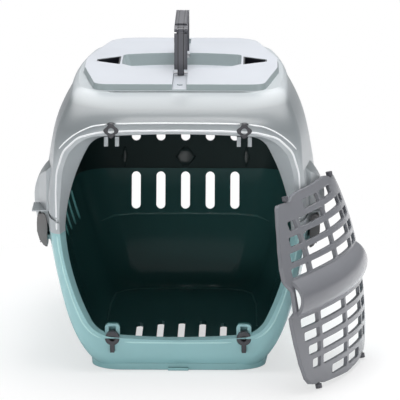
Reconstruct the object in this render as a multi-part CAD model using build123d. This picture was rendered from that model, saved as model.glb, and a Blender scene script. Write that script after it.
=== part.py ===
# Pet carrier: two plastic shells, a roof plate with a hand recess, a folding strap handle,
# two side latches and a lift-off grille door, shown taken off and leaning at the front corner.
# Frame: millimetres, +Z up, front opening faces -Y, origin on the ground under the cabin's middle.
from build123d import *
import math
import os

# Walls and clearances
wall = 3.0
floor_thickness = 4.0
loose_gap = 0.3
running_gap = 0.05

# Cabin: heights of the plan sections, and the sizes of the outer skin at each of them
ground_height = 0.0
plinth_height = 12.0
belly_height = 34.0
hip_height = 83.0
waist_height = 150.0
chest_height = 205.0
shoulder_height = 250.0
brow_height = 264.0
hood_height = 275.0
slope_height = 286.0
roof_height = 293.5
front_face = -245.0
side_middle = -20.0

# Seam between the two shells: high at the front posts, lower along the sides and the rear
post_seam_height = 154.0
side_seam_height = 135.0
seam_step_front = -158.0
seam_step_rear = -140.0

# Doorway
funnel_depth = 19.0
funnel_wall = 3.0
passage_lead = 5.0
socket_half_spacing = 70.5
upper_socket_height = 266.5
lower_socket_height = 38.0
socket_radius = 7.5
socket_bore_radius = 3.2
socket_depth = 8.0
socket_boss_wall = 2.0
socket_stem_length = 14.0
socket_stem_width = 4.5
finger_width = 4.3
finger_gap = 7.4
finger_depth = 7.5
finger_height = 10.5
bracket_height = 12.0
bracket_back = 2.0

# Vents
vent_width = 10.4
vent_pitch = 28.8
rear_vent_count = 5
rear_vent_length = 42.0
side_vent_count = 7
side_vent_middle = 25.0
side_vent_length = 34.0
seam_to_vent = 4.0
high_vent_bottom = 167.0
floor_vent_count = 5
floor_vent_width = 7.5
floor_vent_pitch = 23.4
floor_vent_front = -120.0
floor_vent_rear = -12.0
floor_vent_dome = 3.5
foot_half_width = 11.0
foot_height = 3.0
foot_front = -225.5
foot_rear = -212.0
plinth_step_height = 7.0

# Roof plate and its hand recess
plate_thickness = 6.5
plate_front = -157.0
plate_rear = 141.0
plate_front_half_width = 92.0
plate_middle_half_width = 107.5
plate_rear_half_width = 80.0
plate_front_corner = 16.0
plate_side_corner = 60.0
plate_rear_corner = 34.0
plate_side_front = -50.0
plate_side_rear = 8.0
plate_taper = 12.0
recess_half_width = 66.0
recess_front = -68.0
recess_rear = 40.0
recess_depth = 13.0
recess_floor_share = 0.94
recess_rear_bow = 12.0
recess_front_bow = 38.0
recess_corner = 8.0
recess_wall = 2.0
belt_slot_inner = 68.5
belt_slot_outer = 94.0
belt_slot_wide_half = 25.0
belt_slot_point_half = 6.0
belt_slot_middle = -8.0
belt_tray_depth = 14.0
belt_tray_wall = 1.5

# Folding strap handle
leg_length = 48.0
leg_width = 14.4
leg_thickness = 4.0
knuckle_radius = 2.5
knuckle_width = 7.0
pin_radius = 1.2
foot_inset = 5.0
channel_depth = 5.5
groove_depth = 1.5
groove_lip = 1.2
rear_foot_overrun = 6.0
grip_height = 9.0
fork_length = 11.0
fork_clearance = 1.7

# Side latches
latch_front = -211.0
latch_rear = -171.0
latch_pin_reach = 147.0
latch_pin_height = 165.0
latch_pin_radius = 1.5
knuckle_wall = 1.9
lever_plate = 3.4
hook_rear = -185.0
finger_rib_count = 4
finger_rib_pitch = 2.4
finger_rib_radius = 0.7
latch_cheek = 4.0
cheek_wall = 1.6
catch_front = -204.0
catch_rear = -188.0
catch_bottom = 139.5
catch_top = 144.5
catch_reach = 143.3
housing_full = -150.0
housing_rear = -72.0
housing_front_reach = 141.0
housing_room_reach = 151.0
housing_slant_height = 173.0
housing_top = 222.0
housing_reach = 157.0
housing_shrink = 11.0
lever_room_top = 171.5
slot_tilt = 25.0

# Door
door_side_bow = 353.0
door_tall_bow = 440.0
door_skin = 4.0
door_pin_half_height = 101.3
door_pin_seat = 97.6
band_top = 19.0
band_bottom = -19.5
band_bulge = 9.0
band_wall = 3.0
band_half_width = 104.0
window_rows = 5
window_height = 10.0
window_pitch = 15.7
window_corner = 2.2
lowest_upper_window = 21.2
highest_lower_window = -22.6
door_bar = 5.0
door_bar_spacing = 65.2
short_window_end = 43.0
door_neck_radius = 1.9
door_head_radius = 3.5
door_head_height = 4.6
door_foot_x = 150.0
door_foot_y = -300.0
door_turn = 70.0
door_lean = 11.0

plate_top = roof_height + plate_thickness
pivot_height = plate_top - channel_depth + loose_gap + knuckle_radius
front_foot_y = recess_front - foot_inset
rear_foot_y = recess_rear + foot_inset
channel_width = leg_width + 2 * 2 * loose_gap
pin_length = channel_width + 2 * (groove_depth - loose_gap)


def plan_section(height, front, rear, front_half, middle_half, rear_half, front_round, rear_round):
    """Plan outline of the cabin at one height: straight front and rear, bowed sides."""
    with BuildSketch(Plane.XY.offset(height)) as section:
        with BuildLine():
            Line((-front_half, front), (front_half, front))
            ThreePointArc((front_half, front), (middle_half, side_middle), (rear_half, rear))
            Line((rear_half, rear), (-rear_half, rear))
            ThreePointArc((-rear_half, rear), (-middle_half, side_middle), (-front_half, front))
        make_face()
        front_corners = section.vertices().sort_by(Axis.Y)[:2]
        fillet(front_corners, front_round)
        rear_corners = section.vertices().sort_by(Axis.Y)[-2:]
        fillet(rear_corners, rear_round)
    return section.sketch.faces()[0]


def cabin_sections(inset, drop):
    """Outlines from ground to roof, drawn in by inset, and under the hood lowered by drop."""
    outline = [
        (ground_height, -212, 150, 82, 88, 70, 22, 30),
        (plinth_height, -226, 161, 93, 100, 80, 22, 34),
        (belly_height, -236, 170, 106, 113, 90, 20, 36),
        (hip_height, -243, 188, 122, 131, 106, 18, 40),
        (waist_height, front_face, 206, 134, 146, 122, 14, 44),
        (chest_height, front_face, 202, 134, 144, 120, 14, 46),
        (shoulder_height, front_face, 190, 130, 134, 112, 18, 50),
        (brow_height, front_face, 183, 126, 128, 106, 42, 54),
        (hood_height, -241, 174, 120, 122, 100, 64, 58),
        (slope_height, -205, 160, 114, 117, 94, 58, 60),
        (roof_height, -162, 148, 104, 112, 88, 40, 60),
    ]
    sections = []
    for height, front, rear, front_half, middle_half, rear_half, front_round, rear_round in outline:
        level = height - drop if height > shoulder_height else height
        if height == ground_height and inset > 0:
            level = floor_thickness
        sections.append(plan_section(level, front + inset, rear - inset, front_half - inset,
                                     middle_half - inset, rear_half - inset,
                                     front_round - inset, rear_round - inset))
    return sections


def cabin_solid(inset, drop):
    return loft(cabin_sections(inset, drop))


def doorway_outline(points, y):
    """Closed outline in a plane across the front, from the right half's points, bottom to top."""
    bottom, side_low, side_wide, side_high, top = points[0], points[2], points[4], points[6], points[8]
    mirrored = [(-x, z) for x, z in points]
    with BuildSketch(Plane((0, y, 0), x_dir=(1, 0, 0), z_dir=(0, -1, 0))) as outline:
        with BuildLine():
            ThreePointArc(mirrored[0], (0, bottom[1] - 3.5), bottom)
            ThreePointArc(bottom, points[1], side_low)
            ThreePointArc(side_low, points[3], side_wide)
            ThreePointArc(side_wide, points[5], side_high)
            ThreePointArc(side_high, points[7], top)
            ThreePointArc(top, (0, top[1] + 2.5), mirrored[8])
            ThreePointArc(mirrored[8], mirrored[7], mirrored[6])
            ThreePointArc(mirrored[6], mirrored[5], mirrored[4])
            ThreePointArc(mirrored[4], mirrored[3], mirrored[2])
            ThreePointArc(mirrored[2], mirrored[1], mirrored[0])
        make_face()
    return outline.sketch.faces()[0]


doorway_rim = [(72, 41.0), (84.5, 46.5), (93.5, 58), (112, 107), (120, 158), (111, 206), (95, 243),
               (87, 252.5), (72, 256.0)]
doorway_mouth = [(74, 38.5), (88, 44.5), (99, 56), (118, 107), (127, 158), (127, 205), (120, 240),
                 (104, 256), (82, 261.5)]


def grown(points, amount):
    """The same outline, moved out by about the amount all round."""
    middle = (upper_socket_height + lower_socket_height) / 2
    half_width = max(x for x, z in points)
    half_height = max(z for x, z in points) - middle
    wider = 1 + amount / half_width
    taller = 1 + amount / half_height
    return [(x * wider, middle + (z - middle) * taller) for x, z in points]


def funnel(growth, run_out):
    """Solid of the tapering doorway passage, from ahead of the front wall to behind its rim."""
    mouth = doorway_outline(grown(doorway_mouth, growth), front_face - passage_lead)
    rim = doorway_outline(grown(doorway_rim, growth), front_face + funnel_depth + run_out)
    return loft([mouth, rim], ruled=True)


def slot_x(x, z_low, z_high, width, y_from, y_to):
    """Upright round-ended slot, cut through along Y."""
    with BuildSketch(Plane((x, y_from, (z_low + z_high) / 2), x_dir=(1, 0, 0), z_dir=(0, 1, 0))) as s:
        SlotOverall(z_high - z_low, width, rotation=90)
    return extrude(s.sketch, y_to - y_from)


def slot_y(y, z_low, z_high, width, x_from, x_to):
    """Upright round-ended slot, cut through along X."""
    with BuildSketch(Plane((x_from, y, (z_low + z_high) / 2), x_dir=(0, 1, 0), z_dir=(1, 0, 0))) as s:
        SlotOverall(z_high - z_low, width, rotation=90)
    return extrude(s.sketch, x_to - x_from)


def centred(count, pitch):
    return [(i - (count - 1) / 2) * pitch for i in range(count)]


def rear_vents(z_low, z_high):
    return [slot_x(x, z_low, z_high, vent_width, 120, 260) for x in centred(rear_vent_count, vent_pitch)]


def side_vents(z_low, z_high):
    places = [side_vent_middle + y for y in centred(side_vent_count, vent_pitch)]
    cuts = []
    for side in (-1, 1):
        cuts += [slot_y(y, z_low, z_high, vent_width, side * 90, side * 180) for y in places]
    return cuts


def floor_vents():
    """Long slots in the floor, the middle ones reaching furthest back."""
    cuts = []
    for x in centred(floor_vent_count, floor_vent_pitch):
        rear = floor_vent_rear - floor_vent_dome * (x / floor_vent_pitch) ** 2
        with BuildSketch(Plane.XY.offset(-1)) as s:
            with Locations((x, (rear + floor_vent_front) / 2)):
                SlotOverall(rear - floor_vent_front, floor_vent_width, rotation=90)
        cuts.append(extrude(s.sketch, floor_thickness + 2))
    return cuts


def along_y(points, y_from, y_to):
    """Prism along Y from an outline of (x, z) points."""
    with BuildSketch(Plane((0, y_from, 0), x_dir=(1, 0, 0), z_dir=(0, -1, 0))) as s:
        with BuildLine():
            Polyline(*points, close=True)
        make_face()
    return extrude(s.sketch, -(y_to - y_from))


def below_seam():
    """Everything below the stepped seam."""
    far = 400.0
    profile = [(-far, -far), (far, -far), (far, side_seam_height), (seam_step_rear, side_seam_height),
               (seam_step_front, post_seam_height), (-far, post_seam_height)]
    with BuildSketch(Plane((-far, 0, 0), x_dir=(0, 1, 0), z_dir=(1, 0, 0))) as s:
        with BuildLine():
            Polyline(*profile, close=True)
        make_face()
    return extrude(s.sketch, 2 * far)


def box_between(low, high):
    size = [high[i] - low[i] for i in range(3)]
    middle = [(high[i] + low[i]) / 2 for i in range(3)]
    return Pos(*middle) * Box(*size)


def rod_y(x, z, radius, y_from, y_to):
    return Pos(x, (y_from + y_to) / 2, z) * Rot(90, 0, 0) * Cylinder(radius, abs(y_to - y_from))


def rod_x(y, z, radius, length):
    return Pos(0, y, z) * Rot(0, 90, 0) * Cylinder(radius, length)


# Sockets that take the door's four corner pins
def socket_face(height):
    """How far forward the front wall stands where a socket sits."""
    if height > hip_height:
        return front_face + 2.5
    return front_face + 8.0


def socket_body(side, height, radius, gap):
    front = socket_face(height)
    x = side * socket_half_spacing
    body = rod_y(x, height, radius + gap, front, front + socket_depth + gap)
    if height < hip_height:
        half = socket_stem_width / 2 + gap
        body += box_between((x - half, front, height - radius - socket_stem_length + 6 - gap),
                            (x + half, front + socket_depth + gap, height))
    return body


def socket(side, height):
    front = socket_face(height)
    bore = rod_y(side * socket_half_spacing, height, socket_bore_radius, front - 1, front + socket_depth - 2)
    return socket_body(side, height, socket_radius, 0) - bore


def socket_boss(side, height):
    front = socket_face(height)
    x = side * socket_half_spacing
    outer = socket_radius + loose_gap + socket_boss_wall
    return rod_y(x, height, outer, front, front + socket_depth + loose_gap + socket_boss_wall)


def fingers(side, height_from, height_to):
    """Two fingers that a door pin's head goes between."""
    front = front_face + funnel_depth - finger_depth + 2.5
    pair = []
    for place in (-1, 1):
        x = side * socket_half_spacing + place * (finger_gap + finger_width) / 2
        pair.append(box_between((x - finger_width / 2, front, height_from),
                                (x + finger_width / 2, front + finger_depth, height_to)))
    return pair


def bracket(side, height_from):
    """Arched bracket on the sill, the fingers joined over the top and behind."""
    front = socket_face(lower_socket_height) + socket_depth + loose_gap
    x = side * socket_half_spacing
    half = finger_gap / 2 + finger_width
    block = box_between((x - half, front, height_from),
                        (x + half, front + finger_depth + bracket_back, height_from + bracket_height))
    block = fillet(block.edges().filter_by(Axis.Y).sort_by(Axis.Z)[-2:], finger_width)
    return block - box_between((x - finger_gap / 2, front - 1, height_from - 1),
                               (x + finger_gap / 2, front + finger_depth, height_from + bracket_height - 2.5))


# Side latches
def housing_profile(side, shrink):
    """Bulge over the latch, seen from the front."""
    top = (side * 134.0, housing_top - shrink)
    widest = (side * (housing_reach - shrink), 180.0)
    tucked = (side * (149.0 - shrink * 0.7), 142.0)
    bottom = (side * (139.0 - shrink * 0.4), 131.0)
    with BuildSketch(Plane((0, 0, 0), x_dir=(1, 0, 0), z_dir=(0, -1, 0))) as s:
        with BuildLine():
            ThreePointArc(top, (side * (150.5 - shrink * 0.6), 203.0 - shrink * 0.6), widest)
            ThreePointArc(widest, (side * (155.2 - shrink * 0.9), 161.0), tucked)
            Line(tucked, bottom)
            Line(bottom, (side * 120.0, bottom[1]))
            Line((side * 120.0, bottom[1]), top)
        make_face()
    return s.sketch


def lever_shield(side):
    """Lever seen from the front: curved shield with its hooked lower lip."""
    points = [(147.0, 168.4), (149.9, 168.0), (151.3, 165.0), (151.7, 159.0), (151.5, 150.0),
              (148.9, 141.0), (144.5, 134.6), (142.0, 133.0), (142.9, 136.6), (145.9, 142.0),
              (148.5, 150.5), (148.7, 158.0), (147.0, 161.6)]
    return [(side * x, z) for x, z in points]


def lever_end(side):
    """Plate that closes the lever's front end against the corner post."""
    points = [(144.5, 169.2), (148.9, 168.8), (151.3, 165.0), (151.7, 159.0), (151.5, 150.0),
              (148.9, 141.0), (144.5, 134.6), (142.0, 133.0), (140.4, 133.0), (140.7, 160.0), (142.1, 166.6)]
    return [(side * x, z) for x, z in points]


def lever_hook(side):
    points = [(140.4, 133.0), (144.9, 135.2), (145.9, 142.0), (143.1, 139.0), (140.4, 139.0)]
    return [(side * x, z) for x, z in points]


def latch_lever(side):
    lever = along_y(lever_shield(side), latch_front, latch_rear)
    lever += along_y(lever_end(side), latch_front, latch_front + lever_plate)
    lever += along_y(lever_hook(side), latch_front + 1, hook_rear)
    knuckle = latch_pin_radius + knuckle_wall
    lever += rod_y(side * latch_pin_reach, latch_pin_height, knuckle, latch_front + lever_plate, latch_rear)
    cheek_front = latch_front + lever_plate + loose_gap
    room = sorted((side * 130.0, side * (latch_pin_reach + latch_pin_radius + cheek_wall + loose_gap)))
    lever -= box_between((room[0], cheek_front - loose_gap, 156.0),
                         (room[1], cheek_front + latch_cheek + loose_gap, 180.0))
    for i in range(finger_rib_count):
        z = 138.0 + i * finger_rib_pitch
        reach = 147.6 + i * 0.7
        lever += rod_y(side * reach, z, finger_rib_radius, latch_front + 1, latch_rear - 4)
    lever -= rod_y(side * latch_pin_reach, latch_pin_height, latch_pin_radius + running_gap,
                   latch_front + 1, latch_rear + 1)
    return lever


def latch_pin(side):
    return rod_y(side * latch_pin_reach, latch_pin_height, latch_pin_radius, latch_front + 1.5, latch_rear + 3)


def housing_slants(side):
    """What is taken off the bulge's front, which slopes in to the corner post."""
    corners = [(housing_front_reach, latch_front - 1, housing_slant_height),
               (housing_room_reach, latch_rear + loose_gap, 100.0)]
    ends = [(housing_room_reach, latch_rear + loose_gap), (housing_reach + 1, housing_full)]
    slants = []
    for (x, y, z_from), (x_end, y_end) in zip(corners, ends):
        with BuildSketch(Plane.XY.offset(z_from)) as s:
            with BuildLine():
                Polyline((side * x, y), (side * x_end, y_end), (side * 200.0, y_end), (side * 200.0, y),
                         close=True)
            make_face()
        slants.append(extrude(s.sketch, 240.0 - z_from))
    return slants


def latch_housing(side):
    """Bulge moulded on the upper shell, open in front for the lever, with a cheek for its pin."""
    opening_rear = latch_rear + loose_gap
    front_end = Pos(0, housing_full, 0) * housing_profile(side, 0)
    rear_end = Pos(0, housing_rear, 0) * housing_profile(side, housing_shrink)
    body = loft([front_end.faces()[0], rear_end.faces()[0]])
    front = Pos(0, housing_full, 0) * extrude(housing_profile(side, 0), housing_full - latch_front)
    front -= box_between((-200, latch_front - 1, 100), (200, opening_rear, lever_room_top))
    cheek_front = latch_front + lever_plate + loose_gap
    cheek_rear = cheek_front + latch_cheek
    inner = sorted((side * 134.0, side * latch_pin_reach))
    cheek = box_between((inner[0], cheek_front, 158.0), (inner[1], cheek_rear, lever_room_top + 1))
    cheek += rod_y(side * latch_pin_reach, latch_pin_height, latch_pin_radius + cheek_wall,
                   cheek_front, cheek_rear)
    bore = rod_y(side * latch_pin_reach, latch_pin_height, latch_pin_radius, cheek_front - 1, latch_rear + 3)
    return (body + front + cheek).cut(bore, *housing_slants(side))


def latch_catch(side):
    """Ledge on the lower shell that the lever's hook goes under."""
    x_values = sorted((side * 128.0, side * catch_reach))
    return box_between((x_values[0], catch_front, catch_bottom), (x_values[1], catch_rear, catch_top))


def post_slot(side, core):
    """Sloping groove across the front post, above the lever."""
    bar = Pos(side * 131.5, -229, 169.5) * Rot(0, -side * slot_tilt, 0) * Box(20, 36, 3)
    return bar - core


# Roof plate, recess, channel, seat-belt trays
def plate_outline(height):
    with BuildSketch(Plane.XY.offset(height)) as s:
        with BuildLine():
            Polyline((-plate_front_half_width, plate_front), (plate_front_half_width, plate_front),
                     (plate_middle_half_width, plate_side_front), (plate_middle_half_width, plate_side_rear),
                     (plate_rear_half_width, plate_rear), (-plate_rear_half_width, plate_rear),
                     (-plate_middle_half_width, plate_side_rear), (-plate_middle_half_width, plate_side_front),
                     close=True)
        make_face()
        corners = s.vertices().sort_by(Axis.Y)
        fillet(corners[6:8], plate_rear_corner)
        corners = s.vertices().sort_by(Axis.Y)
        fillet(corners[2:6], plate_side_corner)
        corners = s.vertices().sort_by(Axis.Y)
        fillet(corners[0:2], plate_front_corner)
    return s.sketch


def recess_outline(height, share, growth):
    """Lens outline of the hand recess: a nearly straight rear edge and a bowed front edge."""
    middle = (recess_front + recess_rear) / 2
    half = recess_half_width * share + growth
    rear = middle + (recess_rear - middle) * share + growth
    front = middle + (recess_front - middle) * share - growth
    rear_end = rear - recess_rear_bow * share
    front_end = front + recess_front_bow * share
    with BuildSketch(Plane.XY.offset(height)) as s:
        with BuildLine():
            ThreePointArc((-half, rear_end), (0, rear), (half, rear_end))
            Line((half, rear_end), (half, front_end))
            ThreePointArc((half, front_end), (0, front), (-half, front_end))
            Line((-half, front_end), (-half, rear_end))
        make_face()
        fillet(s.vertices(), recess_corner * share + growth)
    return s.sketch.faces()[0]


def recess_bowl(growth, top, bottom):
    return loft([recess_outline(bottom, recess_floor_share, growth), recess_outline(top, 1.0, growth)])


def belt_outline(side, growth, height):
    inner = side * (belt_slot_inner - growth)
    outer = side * (belt_slot_outer + growth)
    wide = belt_slot_wide_half + growth
    point = belt_slot_point_half + growth
    with BuildSketch(Plane.XY.offset(height)) as s:
        with BuildLine():
            Polyline((inner, belt_slot_middle - wide), (outer, belt_slot_middle - point),
                     (outer, belt_slot_middle + point), (inner, belt_slot_middle + wide), close=True)
        make_face()
    return s.sketch


def belt_tray(side):
    """Dark tray that guides a seat belt beside the hand recess."""
    tray = extrude(belt_outline(side, 0, plate_top - belt_tray_depth), belt_tray_depth - 0.5)
    tray -= extrude(belt_outline(side, -belt_tray_wall, plate_top - belt_tray_depth + belt_tray_wall),
                    belt_tray_depth)
    return tray


def handle_channel():
    """Groove across the plate that the strap handle folds into, undercut for its foot pins."""
    low = plate_top - channel_depth
    half = channel_width / 2
    front_part = box_between((-half, plate_front - 20, low), (half, recess_front + 30, plate_top + 5))
    rear_part = box_between((-half, recess_rear - 30, low), (half, plate_rear - 8, plate_top + 5))
    groove_low = low + loose_gap
    groove_high = plate_top - groove_lip
    groove_half = half + groove_depth
    foot_room = pin_radius + loose_gap
    front_groove = box_between((-groove_half, front_foot_y - leg_length - foot_room, groove_low),
                               (groove_half, front_foot_y + foot_room, groove_high))
    rear_groove = box_between((-groove_half, rear_foot_y - foot_room, groove_low),
                              (groove_half, rear_foot_y + leg_length + rear_foot_overrun + foot_room, groove_high))
    return [front_part, rear_part, front_groove, rear_groove]


def roof_plate():
    plate = extrude(plate_outline(roof_height), plate_thickness, taper=plate_taper)
    bowl_bottom = plate_top - recess_depth
    plate += recess_bowl(recess_wall, roof_height + 0.5, bowl_bottom - recess_wall)
    plate -= recess_bowl(0, plate_top + 0.01, bowl_bottom)
    for cut in handle_channel():
        plate -= cut
    for side in (-1, 1):
        plate -= extrude(belt_outline(side, loose_gap, roof_height - 1), plate_thickness + 5)
    bump = Pos(0, front_foot_y - leg_length - 9, plate_top - channel_depth) * Cylinder(3.0, 2.0)
    return plate + bump


# Handle
def leg(foot_y, outward):
    """Strap leg with a narrow knuckle at each end and a hole through each knuckle."""
    foot = pivot_height
    top = pivot_height + leg_length
    strap = box_between((-leg_width / 2, foot_y - leg_thickness / 2, foot + knuckle_radius + fork_clearance),
                        (leg_width / 2, foot_y + leg_thickness / 2, top - knuckle_radius - fork_clearance))
    strap += box_between((-knuckle_width / 2, foot_y - leg_thickness / 2, foot),
                         (knuckle_width / 2, foot_y + leg_thickness / 2, top))
    strap += rod_x(foot_y, foot, knuckle_radius, knuckle_width)
    strap += rod_x(foot_y, top, knuckle_radius, knuckle_width)
    strap -= rod_x(foot_y, foot, pin_radius + running_gap, knuckle_width + 2)
    strap -= rod_x(foot_y, top, pin_radius + running_gap, knuckle_width + 2)
    ridge = foot_y + outward * leg_thickness / 2
    for x in (-leg_width / 2 + 1.4, leg_width / 2 - 1.4):
        strap += box_between((x - 0.7, ridge - 0.4, foot + knuckle_radius + fork_clearance + 2),
                             (x + 0.7, ridge + 0.4, top - knuckle_radius - fork_clearance - 2))
    return strap


def grip():
    """Level grip: slim forked ends over the channel and a deeper, rounded middle."""
    z = pivot_height + leg_length
    half = leg_width / 2
    bar = box_between((-half, front_foot_y, z - knuckle_radius), (half, rear_foot_y, z + knuckle_radius))
    for y in (front_foot_y, rear_foot_y):
        bar += rod_x(y, z, knuckle_radius, leg_width)
    inner_front = front_foot_y + fork_length + foot_inset
    inner_rear = rear_foot_y - fork_length - foot_inset
    middle = box_between((-half, inner_front, z - grip_height / 2), (half, inner_rear, z + grip_height / 2))
    middle = fillet(middle.edges().filter_by(Axis.Y), 3.0)
    bar += middle
    slot_half = knuckle_width / 2 + loose_gap
    slot_reach = knuckle_radius + fork_clearance
    for y in (front_foot_y, rear_foot_y):
        bar -= box_between((-slot_half, y - slot_reach, z - 10), (slot_half, y + slot_reach, z + 10))
        bar -= rod_x(y, z, pin_radius, leg_width + 2)
    return bar


def cross_pin(y, z, length):
    return rod_x(y, z, pin_radius, length)


# Door, drawn upright about its own middle, front towards -Y, then leant where it stands
def door_outline():
    """Outline of the grille between its corner pins."""
    right = [(60.0, -100.0), (64.5, -door_pin_seat), (78.0, -door_pin_seat), (87.0, -95.0), (94.5, -88.0),
             (103.5, -70.0), (110.5, -46.0), (113.5, -26.0), (113.5, -18.5), (105.5, -14.0), (104.0, 8.0),
             (110.6, 15.5), (113.7, 21.0), (113.0, 35.0), (108.0, 53.5), (98.0, 78.5), (89.5, 95.0),
             (86.5, door_pin_seat), (65.0, door_pin_seat), (59.0, 100.5), (45.0, 103.6)]
    left = [(-x, z) for x, z in reversed(right)]
    return along_y([(0, -103.4)] + right + left, -60, 60)


def door_surface(depth):
    """Point of the bowed skin above its middle, and the arc through it, for a given depth behind."""
    radius = door_tall_bow - depth
    reach = 130.0
    edge = door_tall_bow - math.sqrt(radius ** 2 - reach ** 2)
    return (edge, reach), (depth, 0.0), (edge, -reach)


def bowed(section):
    """A section of the door, in the Y-Z plane, swept round the door's upright side bow."""
    turned = revolve(section, Axis((0, door_side_bow, 0), (0, 0, 1)), 44)
    return Pos(0, door_side_bow, 0) * Rot(0, 0, -22) * Pos(0, -door_side_bow, 0) * turned


def door_skin_solid():
    front = door_surface(-door_skin / 2)
    back = door_surface(door_skin / 2)
    with BuildSketch(Plane.YZ) as s:
        with BuildLine():
            ThreePointArc(*front)
            Line(front[2], back[2])
            ThreePointArc(back[2], back[1], back[0])
            Line(back[0], front[0])
        make_face()
    return bowed(s.sketch)


def door_band():
    """Rounded band across the middle, hollow behind."""
    middle = (band_top + band_bottom) / 2
    skin_front = -door_skin / 2
    with BuildSketch(Plane.YZ) as s:
        with BuildLine():
            ThreePointArc((skin_front + 0.3, band_top), (skin_front - band_bulge, middle),
                          (skin_front + 0.3, band_bottom))
            Line((skin_front + 0.3, band_bottom), (door_skin / 2, band_bottom))
            Line((door_skin / 2, band_bottom), (door_skin / 2, band_bottom + band_wall))
            ThreePointArc((door_skin / 2, band_bottom + band_wall),
                          (skin_front - band_bulge + band_wall, middle),
                          (door_skin / 2, band_top - band_wall))
            Line((door_skin / 2, band_top - band_wall), (door_skin / 2, band_top))
            Line((door_skin / 2, band_top), (skin_front + 0.3, band_top))
        make_face()
    sides = box_between((-band_half_width, -60, -60), (band_half_width, 90, 60))
    return bowed(s.sketch) & sides


def window(x_from, x_to, z_from):
    low = sorted((x_from, x_to))
    cut = box_between((low[0], -60, z_from), (low[1], 90, z_from + window_height))
    return fillet(cut.edges().filter_by(Axis.Y), window_corner)


outer_window_ends = [100.5, 96.5, 90.5, 84.0]


def door_windows():
    """Two inner columns of five windows and two outer ones of four, above and below the band."""
    edge = door_bar / 2
    cuts = []
    for side in (-1, 1):
        for row in range(window_rows):
            last = row == window_rows - 1
            inner_end = short_window_end if last else door_bar_spacing - edge
            for z in (lowest_upper_window + row * window_pitch,
                      highest_lower_window - window_height - row * window_pitch):
                cuts.append(window(side * edge, side * inner_end, z))
                if not last:
                    cuts.append(window(side * (door_bar_spacing + edge), side * outer_window_ends[row], z))
    return cuts


def door_grille():
    grille = door_skin_solid() & door_outline()
    behind_band = box_between((3 - band_half_width, -60, band_bottom + band_wall - 0.5),
                              (band_half_width - 3, 90, band_top - band_wall + 0.5))
    grille = grille.cut(behind_band, *door_windows())
    return grille + door_band()


def door_pin_y():
    """Depth of the bowed skin where the corner pins stand."""
    side = door_side_bow - math.sqrt(door_side_bow ** 2 - socket_half_spacing ** 2)
    tall = door_tall_bow - math.sqrt(door_tall_bow ** 2 - door_pin_seat ** 2)
    return side + tall


def door_pin(side, end):
    neck_length = door_pin_half_height - door_pin_seat
    neck = Pos(side * socket_half_spacing, door_pin_y(), end * (door_pin_seat + neck_length / 2))
    head = Pos(side * socket_half_spacing, door_pin_y(), end * door_pin_half_height)
    return neck * Cylinder(door_neck_radius, neck_length) + head * Cylinder(door_head_radius, door_head_height)


def stand_door(piece):
    """Turn the door round, lean it towards the carrier and stand it on its lowest pin."""
    near_pin = (-socket_half_spacing, door_pin_y(), -door_pin_half_height)
    lifted = Pos(*[-v for v in near_pin]) * piece
    turned = Rot(0, 0, door_turn) * (Rot(-door_lean, 0, 0) * lifted)
    return Pos(door_foot_x, door_foot_y, door_foot_height) * turned


lean = math.radians(door_lean)
door_foot_height = door_head_radius * math.sin(lean) + door_head_height / 2 * math.cos(lean) + 0.2


def cabin_skin():
    """One thin shell of both halves: outer skin, doorway funnel, socket bosses and vents."""
    outer = cabin_solid(0, 0)
    kept = [funnel(funnel_wall, 0)]
    cuts = []
    for side in (-1, 1):
        for height in (upper_socket_height, lower_socket_height):
            kept.append(socket_boss(side, height))
            cuts.append(socket_body(side, height, socket_radius, loose_gap))
    cavity = cabin_solid(wall, wall).cut(*kept)
    low_vent_top = side_seam_height - seam_to_vent
    cuts += rear_vents(low_vent_top - rear_vent_length, low_vent_top)
    cuts += rear_vents(high_vent_bottom, high_vent_bottom + rear_vent_length)
    cuts += side_vents(low_vent_top - seam_to_vent - side_vent_length, low_vent_top - seam_to_vent)
    cuts += floor_vents()
    return outer.cut(cavity).cut(funnel(0, 2.0)).cut(*cuts)


def plinth():
    """Stepped foot all round the flat underside."""
    outline = plan_section(0, -222, 158, 91, 97, 79, 34, 34)
    return extrude(outline, plinth_step_height)


def shells():
    """Lower and upper shell, split at the stepped seam, with what is moulded on each."""
    skin = cabin_skin()
    under = below_seam()
    lower = skin & under
    upper = skin - under
    core = cabin_solid(wall / 2, wall / 2)
    clear_of_lower = cabin_solid(-loose_gap, 0) & (Pos(0, 0, loose_gap) * under)
    lower_extras = [box_between((-foot_half_width, foot_front, 0), (foot_half_width, foot_rear, foot_height)),
                    (plinth() - core).cut(*floor_vents())]
    upper_extras = []
    grooves = []
    for side in (-1, 1):
        upper_extras.append(latch_housing(side) - core - clear_of_lower)
        lower_extras.append(latch_catch(side) - core)
        grooves.append(post_slot(side, core))
        lip_top = doorway_rim[8][1] + 1
        upper_extras += fingers(side, lip_top - finger_height, lip_top)
        lower_extras.append(bracket(side, doorway_rim[0][1] - 1))
    lower = lower.fuse(*lower_extras)
    upper = upper.fuse(*upper_extras)
    holes = [recess_bowl(recess_wall + 1.0, roof_height + 1, plate_top - recess_depth - recess_wall - 1)]
    for side in (-1, 1):
        holes.append(extrude(belt_outline(side, 1.0, roof_height - 20), 40))
    return lower, upper.cut(*holes, *grooves)


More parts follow.
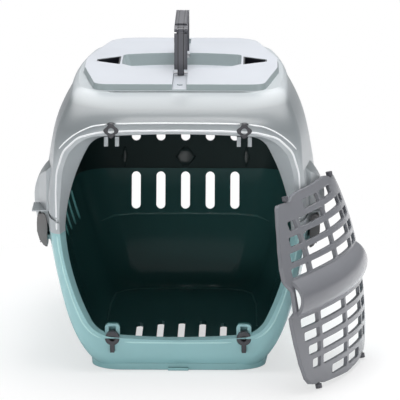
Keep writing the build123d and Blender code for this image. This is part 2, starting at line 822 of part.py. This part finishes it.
lower_shell, upper_shell = shells()
parts = {
    "lower_shell": lower_shell,
    "upper_shell": upper_shell,
    "roof_plate": roof_plate(),
    "handle_grip": grip(),
    "handle_front_leg": leg(front_foot_y, -1),
    "handle_rear_leg": leg(rear_foot_y, 1),
    "handle_front_foot_pin": cross_pin(front_foot_y, pivot_height, pin_length),
    "handle_rear_foot_pin": cross_pin(rear_foot_y, pivot_height, pin_length),
    "handle_front_hinge_pin": cross_pin(front_foot_y, pivot_height + leg_length, leg_width),
    "handle_rear_hinge_pin": cross_pin(rear_foot_y, pivot_height + leg_length, leg_width),
    "door_grille": stand_door(door_grille()),
}
for name, side in (("left", -1), ("right", 1)):
    parts[f"belt_guide_{name}"] = belt_tray(side)
    parts[f"latch_lever_{name}"] = latch_lever(side)
    parts[f"latch_pin_{name}"] = latch_pin(side)
    parts[f"upper_socket_{name}"] = socket(side, upper_socket_height)
    parts[f"lower_socket_{name}"] = socket(side, lower_socket_height)
    parts[f"door_upper_pin_{name}"] = stand_door(door_pin(side, 1))
    parts[f"door_lower_pin_{name}"] = stand_door(door_pin(side, -1))

os.makedirs("parts", exist_ok=True)
for name, solid in parts.items():
    export_step(solid, f"parts/{name}.step")
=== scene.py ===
# %% [markdown]
# # A plastic pet carrier, dressed for its portrait
# The carrier is already engineered: two thin shells, a roof plate with a folding strap handle, two side
# latches and a grille door that is shown taken off. This lesson loads that model as a fixed frame and
# gives it its finishes and its small moulded details. Nothing of the frame is moved or resized.

# %% Load the frame
import math
import bpy
import bmesh
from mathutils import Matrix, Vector
from mathutils.bvhtree import BVHTree


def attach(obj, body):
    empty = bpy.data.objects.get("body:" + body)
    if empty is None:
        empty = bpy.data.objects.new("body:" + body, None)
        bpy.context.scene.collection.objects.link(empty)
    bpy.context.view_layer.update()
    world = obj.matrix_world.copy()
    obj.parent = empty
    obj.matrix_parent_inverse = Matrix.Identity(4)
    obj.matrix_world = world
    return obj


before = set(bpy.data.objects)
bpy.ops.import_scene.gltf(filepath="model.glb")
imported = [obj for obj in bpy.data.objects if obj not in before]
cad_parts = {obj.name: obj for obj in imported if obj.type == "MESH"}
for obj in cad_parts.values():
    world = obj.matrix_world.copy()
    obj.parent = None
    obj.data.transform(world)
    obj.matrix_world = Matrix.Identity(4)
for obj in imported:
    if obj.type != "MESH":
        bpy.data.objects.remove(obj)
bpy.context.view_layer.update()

# %% [markdown]
# ## The camera
# The picture was taken with a long lens from a little above the carrier, looking slightly to the left
# of its centre line. A wide lens close up would frame the carrier too, but it would splay the doorway's
# sides. So the camera stands four and a half metres off, where a long lens keeps them nearly parallel.

# %% Camera
picture_size = 400
focal_in_pixels = 4185.0
camera_place = Vector((0.0910, -4.5877, 1.1149))
pitch = math.radians(12.0)
yaw = math.radians(-0.888)
look = Vector((math.sin(yaw) * math.cos(pitch), math.cos(yaw) * math.cos(pitch), -math.sin(pitch)))
camera_data = bpy.data.cameras.new("camera")
camera_data.sensor_width = 36.0
camera_data.lens = focal_in_pixels / picture_size * camera_data.sensor_width
camera_data.clip_end = 50.0
camera = bpy.data.objects.new("camera", camera_data)
camera.location = camera_place
camera.rotation_euler = look.to_track_quat("-Z", "Y").to_euler()
scene = bpy.context.scene
scene.collection.objects.link(camera)
scene.camera = camera
print("lens", round(camera_data.lens, 1), "mm")

# %% [markdown]
# ## Helpers for shader nodes
# Finishes are wired from shader nodes, and setting every input line by line hides the idea of a finish
# among its wires. These helpers make a node and fill its inputs in one go: a plain value is set on the
# input, and an output of another node is linked to it.

# %% Node helpers


def set_inputs(node, inputs):
    """Fill a node's inputs, given by name or number, with plain values or other nodes' outputs."""
    for name, value in inputs.items():
        if isinstance(value, bpy.types.NodeSocket):
            node.id_data.links.new(value, node.inputs[name])
        else:
            node.inputs[name].default_value = value


def add_node(tree, kind, inputs=None):
    """A new shader node with its inputs filled."""
    node = tree.nodes.new("ShaderNode" + kind)
    set_inputs(node, inputs or {})
    return node


def add_ramp(tree, factor, low, high):
    """A colour that runs from one stop to another; each stop is a place and a colour."""
    ramp = add_node(tree, "ValToRGB", {"Fac": factor})
    for element, (place, colour) in zip(ramp.color_ramp.elements, (low, high)):
        element.position = place
        element.color = (*colour, 1.0)
    return ramp.outputs["Color"]


def map_range(tree, value, before, after=(0.0, 1.0)):
    """A value carried over from one range to another."""
    limits = {"From Min": before[0], "From Max": before[1], "To Min": after[0], "To Max": after[1]}
    return add_node(tree, "MapRange", {"Value": value, **limits}).outputs["Result"]


def calculate(tree, operation, *values, kind="Math", result="Value"):
    """The result of a sum, product or test on sockets and plain values."""
    node = add_node(tree, kind, dict(enumerate(values)))
    node.operation = operation
    return node.outputs[result]


def axis_of(tree, vector, axis):
    """One axis of a vector socket."""
    return add_node(tree, "SeparateXYZ", {"Vector": vector}).outputs[axis]


print("node helpers are ready")

# %% [markdown]
# ## The world
# A studio lights its subject from all round, and most of all from above. A photograph of a studio could
# be wrapped round the scene, but a ramp by height does the same with two colours: dim at the sides and
# below, bright overhead. The world is plain white only where the camera sees it directly, because white
# all round would flatten the shading.

# %% World
scene.view_settings.view_transform = "Standard"
world = bpy.data.worlds.new("studio")
scene.world = world
world.use_nodes = True
world_tree = world.node_tree
world_tree.nodes.clear()
fill_strength = 0.62
side_fill = (0.30, (0.30, 0.31, 0.32))
top_fill = (0.95, (1.0, 1.0, 1.0))
sky_direction = add_node(world_tree, "TexCoord").outputs["Generated"]
sky = add_ramp(world_tree, axis_of(world_tree, sky_direction, "Z"), side_fill, top_fill)
fill = add_node(world_tree, "Background", {"Color": sky, "Strength": fill_strength})
plain_white = add_node(world_tree, "Background", {"Color": (1.0, 1.0, 1.0, 1.0), "Strength": 1.0})
sky_is_seen = add_node(world_tree, "LightPath").outputs["Is Camera Ray"]
backdrop = add_node(world_tree, "MixShader",
                    {"Fac": sky_is_seen, 1: fill.outputs[0], 2: plain_white.outputs[0]})
add_node(world_tree, "OutputWorld", {"Surface": backdrop.outputs[0]})
print("fill strength:", fill_strength)

# %% [markdown]
# ## Lamps
# Product pictures like this one use large soft lamps. Small ones would draw hard spots on the plastic, so
# these are broad rectangles. The strongest hangs overhead and brightens the plate and the top of the hood.
# One behind draws the upper edges, one on each side opens up the flanks, and a long low one in front
# lights the tub.

# %% Lamps


def soft_lamp(name, place, target, size, power):
    """A rectangular lamp, its size in metres and its power in watts, turned towards a target."""
    lamp = bpy.data.lights.new(name, "AREA")
    lamp.shape = "RECTANGLE"
    lamp.size, lamp.size_y = size
    lamp.energy = power
    holder = bpy.data.objects.new(name, lamp)
    holder.location = place
    holder.rotation_euler = (Vector(target) - Vector(place)).to_track_quat("-Z", "Y").to_euler()
    scene.collection.objects.link(holder)


soft_lamp("lamp_over", (0.1, -0.15, 1.5), (0, -0.12, 0.25), size=(1.3, 0.7), power=17.0)
soft_lamp("lamp_back", (0.0, 1.3, 1.3), (0, 0.0, 0.25), size=(1.8, 0.7), power=10.0)
soft_lamp("lamp_left", (-1.8, -0.9, 0.5), (0, 0, 0.10), size=(0.8, 0.9), power=3.5)
soft_lamp("lamp_right", (1.8, -0.9, 0.5), (0, 0, 0.12), size=(0.7, 0.8), power=5.0)
soft_lamp("lamp_front", (-0.5, -2.2, 0.10), (0, -0.1, 0.05), size=(1.4, 0.16), power=5.5)

# %% [markdown]
# ## Floor sheet
# A studio floor is a white sheet that fades out of sight. It could be modelled with its bend up the wall,
# but the bend would show in the shading, so this floor is one flat square, far wider than the picture. It
# lies a hair below the carrier, so that the two don't share a face.

# %% Floor sheet
floor_reach = 3.0
floor_drop = 0.0004
floor_mesh = bpy.data.meshes.new("floor")
floor_corners = [(x * floor_reach, y * floor_reach, 0) for x, y in ((-1, -1), (1, -1), (1, 1), (-1, 1))]
floor_mesh.from_pydata(floor_corners, [], [(0, 1, 2, 3)])
floor = bpy.data.objects.new("floor", floor_mesh)
floor.location.z = -floor_drop
scene.collection.objects.link(floor)
print("floor is", 2 * floor_reach, "m wide")

# %% [markdown]
# ## Floor paper
# A floor of one pale colour would end in a grey horizon. Where the camera sees this one, it is partly
# white light of its own: less near the carrier, where the soft shadow stays visible, and wholly so
# farther out, where it runs into the white of the world.

# %% Floor paper
shadow_middle = (0.0, -0.10, 0.0)
shadow_reach = (0.24, 0.52)
white_share = (0.62, 1.0)
floor_paper = bpy.data.materials.new("floor_paper")
floor_paper.use_nodes = True
paper_tree = floor_paper.node_tree
paper = paper_tree.nodes["Principled BSDF"]
set_inputs(paper, {"Base Color": (0.93, 0.93, 0.94, 1), "Roughness": 0.6, "Specular IOR Level": 0.2})
glow = add_node(paper_tree, "Emission", {"Strength": 1.0})
paper_place = add_node(paper_tree, "NewGeometry").outputs["Position"]
away = calculate(paper_tree, "DISTANCE", paper_place, shadow_middle, kind="VectorMath")
fade_out = map_range(paper_tree, away, shadow_reach, white_share)
paper_is_seen = add_node(paper_tree, "LightPath").outputs["Is Camera Ray"]
whiteness = calculate(paper_tree, "MULTIPLY", fade_out, paper_is_seen)
sheet = add_node(paper_tree, "MixShader", {"Fac": whiteness, 1: paper.outputs[0], 2: glow.outputs[0]})
set_inputs(paper_tree.nodes["Material Output"], {"Surface": sheet.outputs[0]})
floor_mesh.materials.append(floor_paper)
print("the floor is all white beyond", shadow_reach[1], "m")

# %% [markdown]
# ## A maker of plastics
# Moulded plastic is never one flat colour up close: it has a faint cloudiness, a fine spark-eroded grain
# in its gloss and shallow flow marks that bend the highlights. Pictures of plastic could be wrapped round
# the parts, but noise needs no unwrapping and never repeats. Edges get a small radius from the shader's
# bevel, as no mould leaves them sharp.

# %% Plastic maker
cloudiness = 0.04
gloss_spread = 0.06
flow_depth = 0.0004
spark_depth = 0.00005
edge_radius = 0.0008


def moulded_plastic(name, pigment, gloss, grain, edge=edge_radius):
    """A moulded plastic with cloudy pigment, grained gloss, slow flow marks and soft edges."""
    skin = bpy.data.materials.new(name)
    skin.use_nodes = True
    tree = skin.node_tree
    place = add_node(tree, "TexCoord").outputs["Object"]

    clouds = add_node(tree, "TexNoise", {"Vector": place, "Scale": 9.0, "Detail": 4.0})
    deeper = [c * (1 - cloudiness) for c in pigment]
    paler = [min(1, c * (1 + cloudiness)) for c in pigment]
    tint = add_ramp(tree, clouds.outputs["Fac"], (0.3, deeper), (0.7, paler))

    sparks = add_node(tree, "TexNoise", {"Vector": place, "Scale": 900.0, "Detail": 2.0}).outputs["Fac"]
    shine = map_range(tree, sparks, (0.0, 1.0), (gloss - gloss_spread, gloss + gloss_spread))

    rounded = add_node(tree, "Bevel", {"Radius": edge})
    rounded.samples = 4
    flow = add_node(tree, "TexNoise", {"Vector": place, "Scale": 14.0, "Detail": 1.0})
    waves = add_node(tree, "Bump", {"Strength": 0.25, "Distance": flow_depth, "Height": flow.outputs["Fac"],
                                    "Normal": rounded.outputs["Normal"]})
    specks = add_node(tree, "Bump", {"Strength": grain, "Distance": spark_depth, "Height": sparks,
                                     "Normal": waves.outputs["Normal"]})
    set_inputs(tree.nodes["Principled BSDF"], {"Base Color": tint, "Roughness": shine, "IOR": 1.49,
                                               "Normal": specks.outputs["Normal"]})
    return skin


print("plastic edges are softened by", edge_radius, "m")

# %% [markdown]
# ## The carrier's plastics
# The tub is teal, the hood and its plate are pale greys, and the door, strap, levers, sockets and trays
# are greys from middle to nearly black. Each could have a material of its own design, but they all come
# from like moulds, so they differ only in the numbers that a moulder would choose.

# %% Plastics
teal = moulded_plastic("teal_tub", (0.36, 0.62, 0.64), gloss=0.22, grain=0.3)
pale = moulded_plastic("pale_grey_hood", (0.47, 0.505, 0.525), gloss=0.30, grain=0.3)
plate_white = moulded_plastic("pale_grey_plate", (0.53, 0.555, 0.60), gloss=0.36, grain=0.5)
door_grey = moulded_plastic("door_grey", (0.215, 0.22, 0.24), gloss=0.20, grain=0.4, edge=0.0014)
strap_grey = moulded_plastic("strap_grey", (0.10, 0.10, 0.115), gloss=0.34, grain=0.6)
lever_grey = moulded_plastic("lever_grey", (0.17, 0.165, 0.165), gloss=0.34, grain=0.5)
socket_grey = moulded_plastic("socket_grey", (0.05, 0.05, 0.058), gloss=0.38, grain=0.5, edge=0.0006)
tray_black = moulded_plastic("tray_black", (0.012, 0.014, 0.02), gloss=0.45, grain=0.5)
print("plastics:", [m.name for m in bpy.data.materials])

# %% [markdown]
# ## The hood's brow
# From the plate forward the hood slopes down to the doorway, and that slope reads a shade darker than
# the ring round the plate. Lamps that shade it so would dull the plate too, and a painted mask would have
# to be drawn by hand. So that shade is painted into the pigment, deeper by the height and the lie of the
# surface.

# %% Painted shade on the brow
brow_painted_shade = (0.185, 0.205, 0.215)
ring_height, slope_height = 0.2915, 0.2835
wall_lie, slope_lie = 0.05, 0.75


def recolour(skin, factor, colour):
    """Another colour on a skin wherever a factor is 1."""
    tree = skin.node_tree
    base = tree.nodes["Principled BSDF"].inputs["Base Color"]
    mixer = add_node(tree, "Mix", {"Factor": factor})
    mixer.data_type = "RGBA"
    first, second = [s for s in mixer.inputs if s.type == "RGBA"]
    tree.links.new(base.links[0].from_socket, first)
    second.default_value = (*colour, 1.0)
    mixed = [s for s in mixer.outputs if s.type == "RGBA"][0]
    tree.links.new(mixed, base)


pale_tree = pale.node_tree
pale_place = add_node(pale_tree, "NewGeometry").outputs
below_ring = map_range(pale_tree, axis_of(pale_tree, pale_place["Position"], "Z"),
                       (ring_height, slope_height))
faces_up = map_range(pale_tree, axis_of(pale_tree, pale_place["Normal"], "Z"), (wall_lie, slope_lie))
recolour(pale, calculate(pale_tree, "MULTIPLY", below_ring, faces_up), brow_painted_shade)
print("the brow darkens below", ring_height, "m")

# %% [markdown]
# ## Inside and outside
# The shells look very different inside: they lie in deep shade, because light reaches them only by
# the doorway, and that shade is painted into the plastic's colour there. The tub stays glossy there, and the
# hood is nearly matt.
# The inner faces could be picked for a second material, but each shell is one thin solid that turns round
# its rim.
# So the shader decides: a surface is inside when it faces the cabin's middle and lies behind the rim.

# %% Painted shade inside
cabin_middle = (0.0, -0.02, 0.14)
rim_back = -0.2245


def paint_shade_inside(skin, inner, gloss_change):
    """Painted shade as another colour, and another gloss, on the surfaces inside the cabin."""
    tree = skin.node_tree
    spot = add_node(tree, "NewGeometry").outputs
    outward = calculate(tree, "SUBTRACT", spot["Position"], cabin_middle, kind="VectorMath", result="Vector")
    facing = calculate(tree, "DOT_PRODUCT", outward, spot["True Normal"], kind="VectorMath")
    faces_in = calculate(tree, "LESS_THAN", facing, 0.0)
    behind = calculate(tree, "GREATER_THAN", axis_of(tree, spot["Position"], "Y"), rim_back)
    inside = calculate(tree, "MULTIPLY", faces_in, behind)
    recolour(skin, inside, inner)
    roughness = tree.nodes["Principled BSDF"].inputs["Roughness"]
    change = calculate(tree, "MULTIPLY", inside, gloss_change)
    tree.links.new(calculate(tree, "ADD", roughness.links[0].from_socket, change), roughness)


# Both inner colours are painted shade; the plastic itself is the same inside and out.
paint_shade_inside(teal, (0.075, 0.225, 0.22), gloss_change=-0.05)
paint_shade_inside(pale, (0.020, 0.055, 0.055), gloss_change=0.28)
print("inner colours start at y", rim_back)

# %% [markdown]
# ## Steep faces of the plate
# The plate's rim and the walls of its hand recess read darker than its top, because they face the sides
# and catch none of the overhead light. Picking those faces one by one would work too, but the shader
# finds them by their lie and paints that shade on them as a little grey-green, which keeps the plate's edge
# clear.

# %% Painted shade on the plate's edges
steep_lie = 0.75
plate_tree = plate_white.node_tree
plate_lie = axis_of(plate_tree, add_node(plate_tree, "NewGeometry").outputs["True Normal"], "Z")
recolour(plate_white, calculate(plate_tree, "LESS_THAN", plate_lie, steep_lie), (0.35, 0.41, 0.42))
print("plate faces count as steep below", steep_lie)

# %% [markdown]
# ## Slits along the strap
# The strap handle shows two narrow slits along it, dark with shade. They could be cut, but cuts under a
# millimetre wide would need a very fine mesh. They run at a fixed distance from the middle, so the shader
# paints their shade as two thin dark lines there instead.

# %% Painted shade in the strap slits
slit_middle = 0.0030
slit_half = 0.00045
strap_tree = strap_grey.node_tree
strap_place = add_node(strap_tree, "NewGeometry").outputs["Position"]
from_middle = calculate(strap_tree, "ABSOLUTE", axis_of(strap_tree, strap_place, "X"))
off_slit = calculate(strap_tree, "ABSOLUTE", calculate(strap_tree, "SUBTRACT", from_middle, slit_middle))
on_slit = calculate(strap_tree, "LESS_THAN", off_slit, slit_half)
recolour(strap_grey, on_slit, (0.012, 0.012, 0.014))
print("slits are", 2 * slit_half, "m wide")

# %% [markdown]
# ## Steel pins
# The little pins of the handle and latches are plain steel wire. An even gloss would make small mirrors
# of them, so fine noise makes the gloss a little uneven, as drawn wire is.

# %% Wire steel
wire_steel = bpy.data.materials.new("wire_steel")
wire_steel.use_nodes = True
wire_tree = wire_steel.node_tree
uneven = add_node(wire_tree, "TexNoise", {"Scale": 400.0}).outputs["Fac"]
wire_gloss = map_range(wire_tree, uneven, (0.0, 1.0), (0.28, 0.42))
set_inputs(wire_tree.nodes["Principled BSDF"],
           {"Base Color": (0.55, 0.55, 0.57, 1), "Metallic": 1.0, "Roughness": wire_gloss})
print("made", wire_steel.name)

# %% [markdown]
# ## Dressing the frame's own parts
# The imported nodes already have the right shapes, so they only need their finish and soft shading. One
# table from node to finish keeps the choices in one place. What isn't in it is one of the steel pins.

# %% Give each node its finish
finish_of = {
    "lower_shell": teal, "upper_shell": pale, "roof_plate": plate_white, "door_grille": door_grey,
    "handle_grip": strap_grey, "handle_front_leg": strap_grey, "handle_rear_leg": strap_grey,
}
for side in ("left", "right"):
    finish_of["latch_lever_" + side] = lever_grey
    finish_of["upper_socket_" + side] = socket_grey
    finish_of["lower_socket_" + side] = socket_grey
    finish_of["belt_guide_" + side] = tray_black
    finish_of["door_upper_pin_" + side] = strap_grey
    finish_of["door_lower_pin_" + side] = strap_grey

for name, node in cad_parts.items():
    node.data.materials.clear()
    node.data.materials.append(finish_of.get(name, wire_steel))
    for face in node.data.polygons:
        face.use_smooth = True
print("dressed", len(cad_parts), "nodes")

# %% [markdown]
# ## Finding the surface
# Fine ridges must lie exactly on the moulded skin. A modifier could press a finished ridge onto it, but
# would flatten it. So each ridge is drawn as a line first, and every point of it is dropped onto the skin
# along a ray, which also gives the skin's direction there.

# %% Surface finder
in_front = -0.5


def surface_of(*names):
    """Search tree over some of the frame's nodes, in the shared frame."""
    corners, faces = [], []
    for name in names:
        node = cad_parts[name]
        start = len(corners)
        corners += [node.matrix_world @ v.co for v in node.data.vertices]
        faces += [[start + i for i in face.vertices] for face in node.data.polygons]
    return BVHTree.FromPolygons(corners, faces)


shells = surface_of("upper_shell", "lower_shell")


def dropped(starts, direction, limit=0.6):
    """Where rays from the starts meet the shells, with the normals. Rays that miss are left out."""
    found = []
    for start in starts:
        place, normal, _, _ = shells.ray_cast(Vector(start), Vector(direction), limit)
        if place is not None:
            found.append((place, normal))
    return found


print("the brow is at y", round(dropped([(0.0, in_front, 0.274)], (0, 1, 0))[0][0].y, 4))

# %% [markdown]
# ## Soft lines
# A ridge is given by a few points in millimetres, as a mould maker would mark it out. A curve object
# would smooth them too, but plain points are what the rays need. They are spread evenly first, and then
# the corners are cut off, which turns a coarse line into a soft one.

# %% Line helpers
line_step = 0.012


def even(points, step):
    """Points at an even step along a line through the given points."""
    result = [Vector(points[0])]
    for a, b in zip(points, points[1:]):
        a, b = Vector(a), Vector(b)
        count = max(1, round((b - a).length / step))
        result += [a.lerp(b, (i + 1) / count) for i in range(count)]
    return result


def smoothed(points, rounds=2):
    """A softer line, by cutting every corner at a quarter of its sides."""
    for _ in range(rounds):
        fresh = [points[0]]
        for a, b in zip(points, points[1:]):
            fresh += [a.lerp(b, 0.25), a.lerp(b, 0.75)]
        points = fresh + [points[-1]]
    return points


def front_line(half):
    """A soft line across the front of the shells, from (x, z) points of its right half in millimetres."""
    right = [(x / 1000, in_front, z / 1000) for x, z in half]
    left = [(-x, y, z) for x, y, z in reversed(right[1:])]
    return dropped(smoothed(even(left + right, line_step)), (0, 1, 0))


print("line step:", line_step, "m")

# %% [markdown]
# ## Rings with a skin
# The beads and the cups are both rings of points with a skin over them, closed at the ends. Primitives
# could be stretched to shape instead, but rings follow a bent line and take any outline. Each piece is
# tied to the shells here, so that it rides with them.

# %% Ring pieces


def ring_piece(name, rings, material, soft):
    """A closed piece skinned over rings of points, which rides on the shells."""
    bm = bmesh.new()
    loops = [[bm.verts.new(point) for point in ring] for ring in rings]
    for first, second in zip(loops, loops[1:]):
        for k in range(len(first)):
            after = (k + 1) % len(first)
            bm.faces.new((first[k], first[after], second[after], second[k]))
    bm.faces.new(list(reversed(loops[0])))
    bm.faces.new(loops[-1])
    bmesh.ops.recalc_face_normals(bm, faces=bm.faces)
    mesh = bpy.data.meshes.new(name)
    bm.to_mesh(mesh)
    bm.free()
    for face in mesh.polygons:
        face.use_smooth = soft
    mesh.materials.append(material)
    piece = bpy.data.objects.new(name, mesh)
    scene.collection.objects.link(piece)
    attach(piece, "shell")
    print(name, "rings:", len(rings))


print("ring pieces ride on: shell")

# %% [markdown]
# ## Beads
# A moulded ridge is low and rounded, wider than it is high. A curve with a round bevel would stand too
# proud, so a bead is made of flat oval rings that stand square to its line. The rings shrink towards the
# ends, and the whole bead is sunk a little, so that no gap shows under it.

# %% Bead maker
bead_sides = 8
bead_sink = 0.0002
tip_share = 0.25
tip_points = 3


def bead(name, track, half_width, height, material):
    """A low ridge along a track of (place, normal)."""
    last = len(track) - 1
    rings = []
    for index, (place, normal) in enumerate(track):
        before = track[max(0, index - 1)][0]
        after = track[min(last, index + 1)][0]
        along = (after - before).normalized()
        across = along.cross(normal).normalized()
        up = across.cross(along).normalized()
        fade = min(1.0, index / tip_points + tip_share, (last - index) / tip_points + tip_share)
        middle = place - up * bead_sink
        ring = []
        for k in range(bead_sides):
            angle = 2 * math.pi * k / bead_sides
            offset = across * (half_width * math.cos(angle)) + up * (height * math.sin(angle))
            ring.append(middle + offset * fade)
        rings.append(ring)
    ring_piece(name, rings, material, soft=True)


# These two ridge plastics are paler than the hood and the tub: their colour is a painted highlight along the
# ridges.
pale_ridge_painted_highlight = moulded_plastic("ridge_pale_painted_highlight", (0.92, 0.94, 0.96), gloss=0.22, grain=0.2)
teal_ridge_painted_highlight = moulded_plastic("teal_ridge_painted_highlight", (0.52, 0.80, 0.80), gloss=0.20, grain=0.2)
print("ridge plastics:", pale_ridge_painted_highlight.name, teal_ridge_painted_highlight.name)

# %% [markdown]
# ## The brow crease
# A fine raised crease crosses the hood above the doorway and turns down at both ends. It could be a fold
# in the hood's own mesh. As a bead laid on the hood, its width and its pale highlight can be set
# against the picture, and the frame stays as it is.

# %% Brow crease
half_crease = [(0, 274.0), (40, 273.8), (72, 273.2), (92, 270.0), (108, 262.5), (120, 253.0), (126, 246.0)]
# The crease's near-white colour is that painted highlight.
bead("brow_crease", front_line(half_crease), half_width=0.0010, height=0.0007, material=pale_ridge_painted_highlight)

# %% [markdown]
# ## The doorway's lip
# The doorway has a rolled lip that covers the edge of the shells and spares the animal. One closed bead
# could run all round it, but the lip changes colour with the shells. So a pale bead runs over the top and
# teal ones run below, with gaps in the teal for the lower sockets. Both are coloured paler than the shells,
# as a painted highlight along the lip.

# %% Doorway lips
half_lip = [(0, 266.5), (50, 266.0), (84, 264.3), (106, 258.5), (121.5, 244.0), (128.5, 222.0),
            (129.8, 200.0), (129.0, 158.0)]
bead("lip_upper", front_line(half_lip), half_width=0.0012, height=0.0008, material=pale_ridge_painted_highlight)

half_sill = [(0, 33.0), (50, 33.4), (76, 35.6), (91, 42.0), (102, 55.0), (111.5, 78.0), (120.5, 107.0),
             (126.5, 135.0), (128.8, 152.0)]
socket_inner, socket_outer = 0.0600, 0.0795
sill_track = front_line(half_sill)
sill_stretches = {
    "left": (-math.inf, -socket_outer),
    "middle": (-socket_inner, socket_inner),
    "right": (socket_outer, math.inf),
}
for zone, (start, end) in sill_stretches.items():
    stretch = [pair for pair in sill_track if start < pair[0].x < end]
    bead("lip_lower_" + zone, stretch, half_width=0.0011, height=0.0007, material=teal_ridge_painted_highlight)

# %% [markdown]
# ## Cups for the door's upper pins
# The door's upper pins fit into two dark cups under the brow. The frame's own sockets lie half behind the
# skin, so these cups give them a face in front of it. Plain cylinders would be round: a ring of points for
# each step of the profile gives the lobed rim and the blind bore in one go. The hood has no hole where a
# cup stands, so its skin and the lip still show in the bore.

# %% Upper cups
cup_profile = [(0.0072, 0.0060), (0.0072, 0.0012), (0.0064, 0.0), (0.0040, 0.0), (0.0032, 0.0010),
               (0.0032, 0.0055)]
cup_sides = 40
cup_stand = 0.0012
lobe_count, lobe_height, lobed_beyond = 4, 0.0011, 0.006
cup_x, cup_z = 0.0705, 0.2660


def cup_ring(x, y, z, radius):
    """A ring of points round the cup's axis, lobed where it is wide."""
    ring = []
    for k in range(cup_sides):
        angle = 2 * math.pi * k / cup_sides
        lobe = lobe_height * math.cos(lobe_count * angle) if radius > lobed_beyond else 0.0
        reach = radius + lobe
        ring.append((x + reach * math.cos(angle), y, z + reach * math.sin(angle)))
    return ring


for side, x in (("left", -cup_x), ("right", cup_x)):
    skin_y = dropped([(x, in_front, cup_z)], (0, 1, 0))[0][0].y
    cup_rings = [cup_ring(x, skin_y - cup_stand + depth, cup_z, radius) for radius, depth in cup_profile]
    ring_piece("upper_cup_" + side, cup_rings, socket_grey, soft=False)

# %% [markdown]
# ## Ribs and ledge on the rear wall
# Inside, the rear wall has a shallow ledge under the slots and flat upright ribs above them. Blocks could
# be set against the wall, but low beads follow its bend. The ledge comes out well as a faint line. The
# three ribs are short and shrink towards both ends, so they read as low bosses, plainer than real ribs.

# %% Rear wall
# The ledge and kerb teal is painted shade and painted light together: darker than the tub's own teal, yet
# paler than the painted shade of the wall round it, where a ridge catches light. The ribs' near-black is
# painted shade.
inner_ridge_painted_light = moulded_plastic("inner_rib_painted_light", (0.14, 0.34, 0.33), gloss=0.16, grain=0.2)
rib_painted_shade = moulded_plastic("rib_painted_shade", (0.045, 0.075, 0.075), gloss=0.30, grain=0.2)
wall_step = 0.006


def wall_line(points):
    """A line on the inside of the rear wall, from (x, z) points in millimetres."""
    return dropped(even([(x / 1000, 0.0, z / 1000) for x, z in points], wall_step), (0, 1, 0))


ledge = [(-98, 78), (-84, 82), (-60, 84), (0, 84.5), (60, 84), (84, 82), (98, 78)]
bead("rear_ledge", wall_line(ledge), half_width=0.0014, height=0.0011, material=inner_ridge_painted_light)
rib_foot, rib_top = 137, 160
for index, (x, half_width) in enumerate(((-71, 0.0045), (0, 0.0140), (71, 0.0045))):
    rib = wall_line([(x, rib_foot), (x, rib_top)])
    bead("rear_rib_" + str(index + 1), rib, half_width, height=0.0012, material=rib_painted_shade)

# %% [markdown]
# ## A kerb on the cabin floor
# The floor is a shallow tray with a low kerb round it. A step in the floor would do, but the kerb's
# rounded top is what catches the light as one thin line at the back of the cabin. So it is a bead as
# well, dropped onto the floor from above.

# %% Floor kerb
kerb = [(-84, -40), (-83, 60), (-78, 112), (-70, 132), (-52, 142), (0, 144), (52, 142), (70, 132), (78, 112),
        (83, 60), (84, -40)]
kerb_step = 0.010
above_floor = 0.2
kerb_starts = smoothed(even([(x / 1000, y / 1000, above_floor) for x, y in kerb], kerb_step))
# Its paler teal also paints the line of light along the kerb's top.
bead("floor_kerb", dropped(kerb_starts, (0, 0, -1)), half_width=0.0016, height=0.0013, material=inner_ridge_painted_light)
